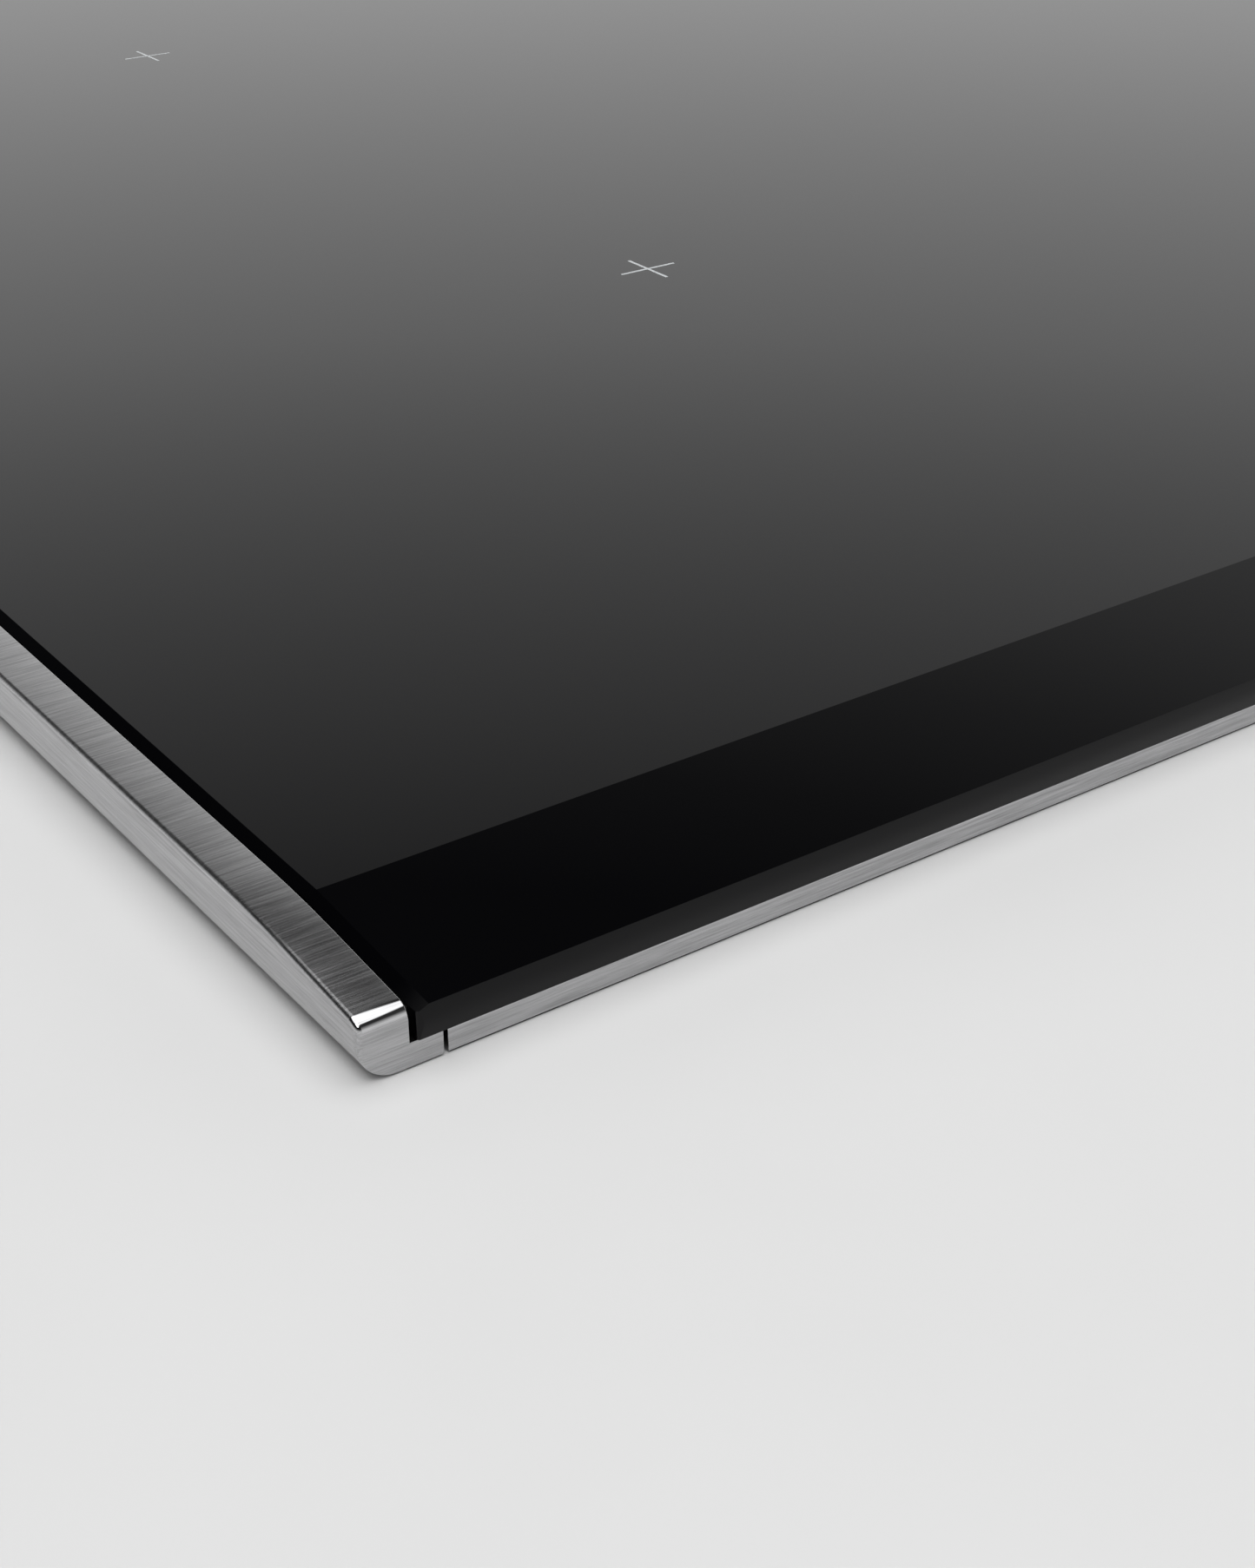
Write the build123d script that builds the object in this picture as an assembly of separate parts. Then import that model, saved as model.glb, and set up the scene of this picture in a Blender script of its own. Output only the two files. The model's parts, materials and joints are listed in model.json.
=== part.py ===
from build123d import *

import math
import os

# Built-in induction cooktop of the 60 cm class: faceted glass plate, steel side trims, casing, four coils.
# Row frame in millimetres: +X to the user's right, +Y to the back, +Z up, the origin at the bottom centre.
# The worktop surface is at z = seat_height: the trims stand on it and the casing hangs below it.

# Overall size and the worktop plane
overall_width = 606.0
overall_depth = 527.0
seat_height = 51.0

# Side trims: an L profile that stands on the worktop and carries the glass on its ledge
trim_height = 9.5
trim_wall = 6.0
trim_base = 9.9
trim_toe_radius = 4.5
trim_outer_radius = 0.8
trim_inner_radius = 0.1
trim_front_height = 7.62
trim_slope_length = 21.7
trim_nose_radius = 1.9
trim_tail_radius = 0.85
trim_knee_radius = 150.0

# Front and rear strips between the side trims
strip_height = 3.25
strip_depth = 9.9
strip_gap = 0.55
strip_top_radius = 0.3
strip_foot_radius = 0.15

# Glass-ceramic plate
glass_thickness = 5.85
glass_front_thickness = 4.0
facet_width = 22.85
glass_side_gap = 0.7
glass_overhang = 0.5
glass_rear_setback = 0.4
glass_corner_radius = 0.8
glass_front_bow = 0.2
glass_rear_arris = 0.2
side_arris_width = 1.5
side_arris_depth = 0.55
glue_line = 0.1

# Silicone beside the glass, foam seal, carrier frame and glue bead under it, tape under trims and strips
silicone_height = 3.2
silicone_end_gap = 0.8
seal_width = 6.0
tape_thickness = 0.3
tape_inset = 0.3
tape_width = 4.0
frame_sheet = 1.0
frame_gap = 0.6
frame_flange_height = 12.0
frame_flange_clearance = 0.15
bead_thickness = 0.8
bead_width = 8.0
bead_inset = 3.0

# Casing tray, folded from sheet
casing_side_margin = 28.0
casing_end_margin = 23.5
casing_height = 50.4
casing_sheet = 0.8
casing_corner_radius = 6.0
vent_width = 3.0
vent_height = 18.0
vent_pitch = 8.0
vents_per_group = 14
vent_group_x = 160.0
vent_sill = 14.0
grille_slot = 3.0
grille_pitch = 6.0
grille_slots = 11
grille_radius = 36.0

# Screws, M4 pan heads with a plain shank
screw_shank_radius = 1.9
screw_hole_radius = 2.0
screw_head_radius = 4.0
screw_head_height = 2.4
screw_length = 8.0
recess_width = 0.8
recess_length = 4.0
recess_depth = 1.2
flange_screw_y = (-180.0, 0.0, 180.0)
flange_screw_drop = 6.0

# Coil support plate and its posts
plate_bottom = 36.0
plate_sheet = 1.2
plate_margin = 2.0
plate_front_y = -183.0
plate_rear_gap = 12.0
plate_window_radius = 16.0
plate_window_place = 45.0
post_radius = 4.0
post_inset = 6.5
side_post_y = (-174.0, 84.0, 212.0)
middle_post_y = (-174.0, 160.0)

# Induction coils: name, centre x, centre y, winding radius, number of ferrite bars
coils = (
    ("front_left", -140.0, -88.0, 90.0, 8),
    ("rear_left", -140.0, 122.0, 90.0, 8),
    ("front_right", 140.0, -103.0, 72.5, 6),
    ("rear_right", 140.0, 107.0, 105.0, 10),
)
coil_glass_clearance = 0.3
mica_thickness = 0.5
mica_overlap = 1.0
mica_bore_gap = 2.0
winding_thickness = 4.5
winding_inner_radius = 20.0
turn_pitch = 3.5
turn_groove = 0.6
turn_groove_depth = 0.9
carrier_thickness = 2.0
carrier_rim = 3.0
carrier_rim_height = 3.6
carrier_hub_radius = 17.0
carrier_hub_height = 4.0
ferrite_thickness = 3.5
ferrite_width = 14.0
ferrite_start = 24.0
ferrite_end_margin = 4.0
coil_spring_inset = 20.0
springs_per_coil = 3

# Temperature sensors in the coil centres
sensor_radius = 6.0
sensor_clearance = 0.08
sensor_tail_radius = 2.6
sensor_tail_end = 39.5
sensor_flange_radius = 8.0
sensor_flange = 1.2
sensor_stop_gap = 0.4

# Coil springs under the coils and the sensors
spring_wire_radius = 0.45
coil_spring_radius = 4.2
sensor_spring_radius = 5.2
spring_turns = 4.0

# Circuit boards on studs
board_thickness = 1.6
board_bottom = 6.5
board_inner_x = 92.0
board_outer_x = 255.0
board_front_y = -165.0
board_rear_y = 70.0
stud_radius = 3.0
stud_inset = 8.0
filter_half_width = 66.0
filter_front_y = 10.0
filter_rear_y = 146.0

# Heat sinks, one on each power board
sink_inner_x = 158.0
sink_width = 57.0
sink_front_y = -145.0
sink_rear_y = 58.0
sink_base = 4.0
sink_height = 25.0
sink_fin = 1.6
sink_fins = 9

# Power transistors, capacitors and chokes
transistor_size = (5.0, 16.0, 20.0)
transistor_count = 4
transistor_pitch = 46.0
capacitor_size = (14.0, 30.0, 22.0)
capacitor_pitch = 44.0
capacitor_count = 4
capacitor_x = 125.0
choke_radius = 16.0
choke_bore = 7.0
choke_height = 14.0
choke_x = 36.0
choke_y = (50.0, 108.0)

# Radial cooling fans over the floor grilles
fan_x = 177.0
fan_y = 140.0
fan_inner_radius = 47.0
fan_wall = 1.5
fan_height = 28.0
outlet_half_width = 30.0
outlet_length = 66.0
rotor_radius = 42.0
rotor_bottom = 6.0
rotor_top = 25.0
rotor_hub_radius = 14.0
rotor_blades = 28
blade_thickness = 1.0
blade_length = 12.0
blade_angle = 35.0
rotor_ring_width = 3.0
rotor_ring_height = 1.5
rotor_plate = 1.5
spindle_radius = 2.0
spindle_clearance = 0.05
spindle_collar_radius = 4.0
spindle_collar = 1.4
spindle_collar_gap = 0.5

# Terminal box in the rear wall of the casing, its hinged cover and the cable gland
box_half_width = 58.0
box_length = 44.0
box_height = 31.0
box_wall = 2.0
box_fit = 0.3
partition_x = 28.0
ear_length = 4.4
ear_bottom = 24.0
cover_side_gap = 0.6
cover_rear_gap = 0.8
cover_thickness = 2.0
cover_sill = 1.6
cover_tab_half_width = 7.0
cover_tab = 1.0
cover_tab_height = 3.0
hinge_radius = 1.6
hinge_clearance = 0.08
hinge_out = 1.8
hinge_drop = 3.0
gland_x = 44.0
gland_z = 16.0
gland_bore_radius = 6.0
gland_body_radius = 8.5
gland_flange_radius = 11.0
gland_flange = 3.0
gland_inner_length = 8.0
gland_fit = 0.15
terminal_ways = 5
terminal_pitch = 14.0
terminal_x = -14.0
terminal_depth = 26.0
terminal_setback = 2.0
terminal_entry_depth = 10.0
terminal_groove_depth = 3.0
terminal_height = 17.0
terminal_groove = 1.0
terminal_screw_radius = 2.6
terminal_screw_height = 1.2

# Touch control unit at the front
control_half_width = 142.0
control_front_gap = 4.0
control_depth = 46.0
control_bottom = 40.0
control_floor = 2.0
control_wall = 1.6
control_board_bottom = 46.5
control_fit = 0.2
control_leg_x = 120.0
control_leg_radius = 3.0
touch_pads = 13
touch_pad_pitch = 17.0
touch_pad_radius = 4.0
touch_pad_bore = 2.6
touch_pad_inset = 12.0
display_size = (24.0, 13.0)
display_pitch = 56.0
display_count = 4
display_inset = 33.0

# Retaining clips: sprung leaves on pins in ears on the casing sides
clip_y = (-130.0, 130.0)
clip_half_width = 11.0
clip_sheet = 0.8
clip_pin_radius = 1.2
clip_pin_clearance = 0.08
clip_curl_radius = 2.0
clip_pivot_out = 2.6
clip_pivot_z = 12.0
clip_apex_out = 8.2
clip_apex_z = 30.0
clip_tip_out = 6.2
clip_tip_z = 36.0
clip_bend_radius = 2.5
lug_sheet = 1.0
lug_gap = 0.4
lug_reach = 4.4
lug_half_height = 3.0

# Places that follow from the sizes above
half_width = overall_width / 2
front_y = -overall_depth / 2
rear_y = overall_depth / 2
trim_front_y = front_y + glass_overhang
foot_z = seat_height + tape_thickness
ledge_z = seat_height + strip_height
glass_bottom = ledge_z + glue_line
glass_top = glass_bottom + glass_thickness
glass_half_width = half_width - trim_wall - glass_side_gap
glass_rear_y = rear_y - glass_rear_setback
casing_half_width = half_width - casing_side_margin
casing_half_depth = rear_y - casing_end_margin
frame_top = glass_bottom - bead_thickness
frame_bottom = frame_top - frame_sheet
frame_half_width = half_width - trim_base - frame_gap
frame_front_y = trim_front_y + strip_depth + frame_gap
frame_rear_y = rear_y - strip_depth - frame_gap
plate_top = plate_bottom + plate_sheet
plate_half_width = casing_half_width - plate_margin
board_top = board_bottom + board_thickness
winding_top = glass_bottom - coil_glass_clearance - mica_thickness
carrier_top = winding_top - winding_thickness
carrier_bottom = carrier_top - carrier_thickness
sensor_flange_top = carrier_bottom - sensor_stop_gap
box_front_y = casing_half_depth - box_length
box_top = casing_sheet + box_height
hinge_y = casing_half_depth + hinge_out
hinge_z = box_top - hinge_drop
control_front_y = -casing_half_depth + control_front_gap
control_rear_y = control_front_y + control_depth


def block(x0, x1, y0, y1, z0, z1):
    """A box between two corners."""
    middle = ((x0 + x1) / 2, (y0 + y1) / 2, (z0 + z1) / 2)
    return Pos(*middle) * Box(x1 - x0, y1 - y0, z1 - z0)


def rod(radius, x, y, z0, z1):
    """An upright cylinder."""
    return Pos(x, y, (z0 + z1) / 2) * Cylinder(radius, z1 - z0)


def rod_x(radius, x0, x1, y, z):
    """A cylinder along X."""
    return Pos((x0 + x1) / 2, y, z) * Rot(0, 90, 0) * Cylinder(radius, x1 - x0)


def rod_y(radius, y0, y1, x, z):
    """A cylinder along Y."""
    return Pos(x, (y0 + y1) / 2, z) * Rot(90, 0, 0) * Cylinder(radius, y1 - y0)


def prism_along_y(face, y0, y1):
    """Extrudes a face drawn in X and Z from y0 to y1."""
    return Pos(0, y1, 0) * extrude(Rot(90, 0, 0) * face, amount=y1 - y0, dir=(0, -1, 0))


def prism_along_x(face, x0, x1):
    """Extrudes a face drawn in Y and Z from x0 to x1."""
    return extrude(Plane.YZ.offset(x0) * face, amount=x1 - x0)


def ring(x_half, y0, y1, width, z0, z1):
    """A flat rectangular ring with its outer edge at x_half, y0 and y1."""
    outer = block(-x_half, x_half, y0, y1, z0, z1)
    return outer - block(-x_half + width, x_half - width, y0 + width, y1 - width, z0 - 1, z1 + 1)


def mirrored(shape):
    """The same shape on the other side of the YZ plane."""
    return mirror(shape, about=Plane.YZ)


def both_sides(shape):
    """The shape and its mirror image."""
    return [shape, mirrored(shape)]


def group(shapes):
    """Separate solids that share one node."""
    return Compound(children=[solid for shape in shapes for solid in shape.solids()])


def pan_screw(length):
    """A pan-head screw along Z with its head above the origin."""
    head = rod(screw_head_radius, 0, 0, 0, screw_head_height)
    head = fillet(head.edges().group_by(Axis.Z)[-1], screw_head_height / 2)
    for turn in (0, 90):
        slot = Box(recess_length, recess_width, 2 * recess_depth)
        head -= Pos(0, 0, screw_head_height) * Rot(0, 0, turn) * slot
    return head + rod(screw_shank_radius, 0, 0, -length, 0)


def coil_spring(radius, z0, z1):
    """A helical compression spring between two seats."""
    start = z0 + spring_wire_radius
    height = z1 - z0 - 2 * spring_wire_radius
    path = Helix(pitch=height / spring_turns, height=height, radius=radius)
    section = Plane(origin=path @ 0, z_dir=path % 0) * Circle(spring_wire_radius * 0.98)
    return Pos(0, 0, start) * sweep(section, path=path, is_frenet=True)


# ---- Trims, strips, glass and what holds it ----


def side_trim():
    """Left trim: an L profile with a sloped front, a round nose and a rounded outer edge."""
    outer = -half_width
    top = seat_height + trim_height
    knee = (trim_front_y + trim_slope_length, top)
    nose = (trim_front_y, seat_height + trim_front_height)
    tail = (rear_y, top)
    outline = Polygon((trim_front_y, seat_height), (rear_y, seat_height), tail, knee, nose, align=None)
    for place, radius in ((knee, trim_knee_radius), (nose, trim_nose_radius), (tail, trim_tail_radius)):
        outline = fillet(outline.vertices().sort_by_distance((*place, 0))[0], radius)
    bar = prism_along_x(outline, outer, outer + trim_base)
    rim = [edge for edge in bar.faces().sort_by(Axis.X)[0].edges() if edge.center().Z > foot_z]
    bar = fillet(rim, trim_outer_radius)

    profile = Polygon(
        (outer, foot_z),
        (outer + trim_base, foot_z),
        (outer + trim_base, ledge_z),
        (outer + trim_wall, ledge_z),
        (outer + trim_wall, top),
        (outer, top),
        align=None,
    )
    toe = profile.vertices().sort_by_distance((outer, foot_z, 0))[0]
    trim = bar & prism_along_y(fillet(toe, trim_toe_radius), trim_front_y - 1, rear_y + 1)
    wall = trim.faces().filter_by(Axis.X).sort_by_distance((outer + trim_wall, 0, top))[0]
    inner_edges = [edge for edge in wall.edges() if edge.center().Z > ledge_z + trim_inner_radius]
    return fillet(inner_edges, trim_inner_radius)


def strip(y0, y1, outside):
    """A strip under the glass edge, with its outside edges rounded."""
    reach = half_width - trim_base - strip_gap
    bar = block(-reach, reach, y0, y1, foot_z, ledge_z)
    for height, radius in ((ledge_z, strip_top_radius), (foot_z, strip_foot_radius)):
        edge = bar.edges().filter_by(Axis.X).sort_by_distance((0, outside, height))[0]
        bar = fillet(edge, radius)
    return bar


def glass_plate():
    """The plate with its ground facet along the front, a bowed front edge, arrises and rounded corners."""
    facet_z = glass_bottom + glass_front_thickness
    bow_y = front_y + glass_front_bow
    rear_line = Polyline(
        (bow_y, glass_bottom),
        (glass_rear_y, glass_bottom),
        (glass_rear_y, glass_top),
        (front_y + facet_width, glass_top),
        (bow_y, facet_z),
    )
    middle_z = (glass_bottom + facet_z) / 2
    front_line = ThreePointArc((bow_y, facet_z), (front_y, middle_z), (bow_y, glass_bottom))
    profile = make_face([rear_line, front_line])
    profile = chamfer(profile.vertices().group_by(Axis.X)[-1], glass_rear_arris)
    plate = prism_along_x(profile, -glass_half_width, glass_half_width)
    for side in (Axis.X, -Axis.X):
        wall = plate.faces().sort_by(side)[-1]
        tops = [edge for edge in wall.edges() if edge.bounding_box().size.Y > facet_width / 2]
        tops = [edge for edge in tops if edge.center().Z > glass_bottom + glass_front_thickness / 2]
        plate = chamfer(tops, side_arris_depth, side_arris_width, reference=wall)
    outline = RectangleRounded(2 * glass_half_width, glass_rear_y - front_y, glass_corner_radius)
    outline = Pos(0, (front_y + glass_rear_y) / 2, glass_bottom - 1) * outline
    return plate & extrude(outline, amount=glass_thickness + 2)


def edge_silicone():
    """Silicone in the gap between the left trim and the glass, below their surfaces."""
    inner = -glass_half_width
    y0 = trim_front_y + glass_corner_radius + silicone_end_gap
    y1 = glass_rear_y - glass_corner_radius - silicone_end_gap
    return block(inner - glass_side_gap, inner, y0, y1, ledge_z, ledge_z + silicone_height)


def worktop_seal():
    """Foam ring under the carrier frame, and thin tape under the trims and strips."""
    foam = ring(frame_half_width, frame_front_y, frame_rear_y, seal_width, seat_height, frame_bottom)
    inner = half_width - trim_base + tape_inset
    across = half_width - trim_base - strip_gap - tape_inset
    y0 = trim_front_y + tape_inset
    y1 = rear_y - tape_inset
    side_tape = block(inner, inner + tape_width, y0, y1, seat_height, foot_z)
    front_tape = block(-across, across, y0, y0 + tape_width, seat_height, foot_z)
    rear_tape = block(-across, across, y1 - tape_width, y1, seat_height, foot_z)
    return group([foam, side_tape, mirrored(side_tape), front_tape, rear_tape])


def carrier_frame():
    """Folded frame under the glass edge, with a flange that goes round the casing."""
    inner_x = casing_half_width + frame_flange_clearance
    inner_y = casing_half_depth + frame_flange_clearance
    outer = block(-frame_half_width, frame_half_width, frame_front_y, frame_rear_y, frame_bottom, frame_top)
    flange_bottom = frame_bottom - frame_flange_height
    wall_x = inner_x + frame_sheet
    wall_y = inner_y + frame_sheet
    frame = outer + block(-wall_x, wall_x, -wall_y, wall_y, flange_bottom, frame_top)
    frame -= block(-inner_x, inner_x, -inner_y, inner_y, flange_bottom - 1, frame_top + 1)
    for y in flange_screw_y:
        frame -= rod_x(screw_hole_radius, -wall_x - 1, wall_x + 1, y, frame_bottom - flange_screw_drop)
    return frame


def frame_screws():
    """Screws through the frame's flange into the casing."""
    head_x = casing_half_width + frame_flange_clearance + frame_sheet
    screw = Rot(0, 90, 0) * pan_screw(screw_length)
    row = [Pos(head_x, y, frame_bottom - flange_screw_drop) * screw for y in flange_screw_y]
    return group([piece for one in row for piece in both_sides(one)])


# ---- Casing ----


def casing_tray():
    """Folded tray with vents along the front, grilles under the fans and lugs for the clips."""
    outline = RectangleRounded(2 * casing_half_width, 2 * casing_half_depth, casing_corner_radius)
    tray = extrude(outline, amount=casing_height)
    inner_radius = casing_corner_radius - casing_sheet
    hollow = RectangleRounded(
        2 * (casing_half_width - casing_sheet), 2 * (casing_half_depth - casing_sheet), inner_radius
    )
    tray -= Pos(0, 0, casing_sheet) * extrude(hollow, amount=casing_height)
    start = -vent_pitch * (vents_per_group - 1) / 2
    slots = []
    for side in (-1, 1):
        for number in range(vents_per_group):
            x = side * vent_group_x + start + vent_pitch * number
            y = -casing_half_depth
            x0, x1 = x - vent_width / 2, x + vent_width / 2
            slots.append(block(x0, x1, y - 1, y + 2, vent_sill, vent_sill + vent_height))
        for number in range(grille_slots):
            x = grille_pitch * (number - (grille_slots - 1) / 2)
            reach = math.sqrt(grille_radius**2 - x**2)
            for y0, y1 in ((2, reach), (-reach, -2)):
                x_fan = side * fan_x + x
                half_slot = grille_slot / 2
                x0, x1 = x_fan - half_slot, x_fan + half_slot
                slots.append(block(x0, x1, fan_y + y0, fan_y + y1, -1, casing_sheet + 1))
    tray -= slots
    gap = box_half_width + box_fit
    tray -= block(-gap, gap, casing_half_depth - 2, casing_half_depth + 1, casing_sheet, box_top + box_fit)
    for y in flange_screw_y:
        reach = casing_half_width + 1
        tray -= rod_x(screw_hole_radius, -reach, reach, y, frame_bottom - flange_screw_drop)
    for y in clip_y:
        for end in (-1, 1):
            near = y + end * (clip_half_width + lug_gap)
            lug = clip_lug(min(near, near + end * lug_sheet))
            tray += both_sides(lug)
    return tray


def clip_lug(y0):
    """A lug on the right wall of the casing with a hole for the clip's pin."""
    x0 = casing_half_width - casing_sheet / 2
    x1 = casing_half_width + lug_reach
    lug = block(x0, x1, y0, y0 + lug_sheet, clip_pivot_z - lug_half_height, clip_pivot_z + lug_half_height)
    hole_x = casing_half_width + clip_pivot_out
    return lug - rod_y(clip_pin_radius + clip_pin_clearance, y0 - 1, y0 + lug_sheet + 1, hole_x, clip_pivot_z)


def retaining_clip(y):
    """A sprung leaf on the right side of the casing: curl and pin below, bent contact and tip above."""
    pivot = (casing_half_width + clip_pivot_out, clip_pivot_z)
    apex = (casing_half_width + clip_apex_out, clip_apex_z)
    tip = (casing_half_width + clip_tip_out, clip_tip_z)
    line = FilletPolyline(pivot, apex, tip, radius=clip_bend_radius)
    leaf = prism_along_y(trace(line, clip_sheet), y - clip_half_width, y + clip_half_width)
    curl = rod_y(clip_curl_radius, y - clip_half_width, y + clip_half_width, *pivot)
    pin_reach = clip_half_width + lug_gap + lug_sheet
    return leaf + curl + rod_y(clip_pin_radius, y - pin_reach, y + pin_reach, *pivot)


# ---- Coil plate, coils and sensors ----


def coil_angles(bars):
    """Angles of the ferrite bars, the springs and the plate's windows under one coil."""
    step = 360 / bars
    bar_angles = [step * number for number in range(bars)]
    spring_angles = [step * (bars * number // springs_per_coil + 0.5) for number in range(springs_per_coil)]
    following = spring_angles[1:] + [spring_angles[0] + 360]
    window_angles = [(one + other) / 2 for one, other in zip(spring_angles, following)]
    return bar_angles, spring_angles, window_angles


def around(x, y, radius, angle):
    """A point on a circle about a coil's centre."""
    turn = math.radians(angle)
    return x + radius * math.cos(turn), y + radius * math.sin(turn)


def post_points():
    """Centres of the posts under the coil plate."""
    side_x = casing_half_width - post_inset
    return [(x, y) for x in (-side_x, side_x) for y in side_post_y] + [(0, y) for y in middle_post_y]


def coil_plate():
    """Sheet that carries the coils, with windows for the cooling air."""
    rear = casing_half_depth - plate_rear_gap
    plate = block(-plate_half_width, plate_half_width, plate_front_y, rear, plate_bottom, plate_top)
    cuts = []
    for _, x, y, _, bars in coils:
        for angle in coil_angles(bars)[2]:
            centre = around(x, y, plate_window_place, angle)
            cuts.append(rod(plate_window_radius, *centre, plate_bottom - 1, plate_top + 1))
    for x, y in post_points():
        cuts.append(rod(screw_hole_radius, x, y, plate_bottom - 1, plate_top + 1))
    return plate - cuts


def plate_posts():
    """Posts from the tray's floor to the coil plate, bored for the screws."""
    posts = []
    for x, y in post_points():
        bore = rod(screw_hole_radius, x, y, plate_top - screw_length - 1, plate_bottom + 1)
        posts.append(rod(post_radius, x, y, casing_sheet, plate_bottom) - bore)
    return group(posts)


def plate_screws():
    """Screws through the coil plate into the posts."""
    screw = pan_screw(screw_length)
    return group([Pos(x, y, plate_top) * screw for x, y in post_points()])


def coil_carrier(x, y, radius):
    """Plastic dish under a winding, with a rim outside and a hub round the sensor."""
    bore = sensor_radius + sensor_clearance
    outer = radius + carrier_rim
    half_section = Polyline(
        (bore, carrier_bottom),
        (outer, carrier_bottom),
        (outer, carrier_top + carrier_rim_height),
        (outer - carrier_rim / 2, carrier_top + carrier_rim_height),
        (outer - carrier_rim / 2, carrier_top),
        (carrier_hub_radius, carrier_top),
        (carrier_hub_radius, carrier_top + carrier_hub_height),
        (bore, carrier_top + carrier_hub_height),
        close=True,
    )
    return Pos(x, y, 0) * revolve(Plane.XZ * make_face(half_section), Axis.Z)


def coil_winding(x, y, radius):
    """Flat winding with a groove between its turns."""
    turns = int((radius - winding_inner_radius) // turn_pitch)
    points = [(radius, carrier_top), (winding_inner_radius, carrier_top), (winding_inner_radius, winding_top)]
    for turn in range(1, turns):
        middle = winding_inner_radius + turn * turn_pitch
        points.append((middle - turn_groove / 2, winding_top))
        points.append((middle, winding_top - turn_groove_depth))
        points.append((middle + turn_groove / 2, winding_top))
    points.append((radius, winding_top))
    return Pos(x, y, 0) * revolve(Plane.XZ * make_face(Polyline(*points, close=True)), Axis.Z)


def ferrite_bars():
    """Bars under each coil carrier, like spokes."""
    bars = []
    for _, x, y, radius, count in coils:
        end = radius - ferrite_end_margin
        low = carrier_bottom - ferrite_thickness
        bar = block(ferrite_start, end, -ferrite_width / 2, ferrite_width / 2, low, carrier_bottom)
        bars += [Pos(x, y, 0) * Rot(0, 0, angle) * bar for angle in coil_angles(count)[0]]
    return group(bars)


def mica_sheets():
    """Insulating discs between the windings and the glass."""
    top = winding_top + mica_thickness
    bore = sensor_radius + mica_bore_gap
    discs = [
        rod(radius + mica_overlap, x, y, winding_top, top) - rod(bore, x, y, winding_top - 1, top + 1)
        for _, x, y, radius, _ in coils
    ]
    return group(discs)


def coil_springs():
    """Springs that press each coil towards the glass."""
    spring = coil_spring(coil_spring_radius, plate_top, carrier_bottom)
    springs = []
    for _, x, y, radius, bars in coils:
        for angle in coil_angles(bars)[1]:
            springs.append(Pos(*around(x, y, radius - coil_spring_inset, angle), 0) * spring)
    return group(springs)


def sensor(x, y):
    """Sprung sensor head with a flange that stops it under the carrier's hub."""
    head = rod(sensor_radius, x, y, sensor_flange_top, glass_bottom - coil_glass_clearance)
    flange = rod(sensor_flange_radius, x, y, sensor_flange_top - sensor_flange, sensor_flange_top)
    return head + flange + rod(sensor_tail_radius, x, y, sensor_tail_end, sensor_flange_top)


def sensor_spring(x, y):
    """Spring under a sensor's flange."""
    return Pos(x, y, 0) * coil_spring(sensor_spring_radius, plate_top, sensor_flange_top - sensor_flange)


# ---- Electronics ----


def board(x0, x1, y0, y1):
    """A circuit board at the height of the studs."""
    return block(x0, x1, y0, y1, board_bottom, board_top)


def board_studs():
    """Studs under the corners of the boards."""
    studs = []
    for x0, x1, y0, y1 in (
        (board_inner_x, board_outer_x, board_front_y, board_rear_y),
        (-board_outer_x, -board_inner_x, board_front_y, board_rear_y),
        (-filter_half_width, filter_half_width, filter_front_y, filter_rear_y),
    ):
        for x in (x0 + stud_inset, x1 - stud_inset):
            for y in (y0 + stud_inset, y1 - stud_inset):
                studs.append(rod(stud_radius, x, y, casing_sheet, board_bottom))
    return group(studs)


def heatsink():
    """Extruded heat sink of the right power board, with fins along the air flow."""
    top = board_top + sink_height
    outer = sink_inner_x + sink_width
    sink = block(sink_inner_x, outer, sink_front_y, sink_rear_y, board_top, board_top + sink_base)
    pitch = (sink_width - sink_fin) / (sink_fins - 1)
    for number in range(sink_fins):
        x = sink_inner_x + pitch * number
        sink += block(x, x + sink_fin, sink_front_y, sink_rear_y, board_top, top)
    return sink


def row_along_y(size, x, middle_y, pitch, count):
    """Equal blocks in a row on the right power board."""
    width, length, height = size
    row = []
    for number in range(count):
        y = middle_y + pitch * (number - (count - 1) / 2)
        y0, y1 = y - length / 2, y + length / 2
        row.append(block(x - width / 2, x + width / 2, y0, y1, board_top, board_top + height))
    return row


def on_both_boards(row):
    """A row of parts on the right power board and its mirror image on the left one."""
    return group([piece for one in row for piece in both_sides(one)])


def filter_chokes():
    """Toroid chokes on the filter board."""
    top = board_top + choke_height
    chokes = []
    for y in choke_y:
        toroid = rod(choke_radius, choke_x, y, board_top, top)
        toroid -= rod(choke_bore, choke_x, y, board_top - 1, top + 1)
        rims = [edge for edge in toroid.edges().filter_by(GeomType.CIRCLE) if edge.center().Z > top - 1]
        chokes += both_sides(fillet(rims, choke_bore / 3))
    return group(chokes)


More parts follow.
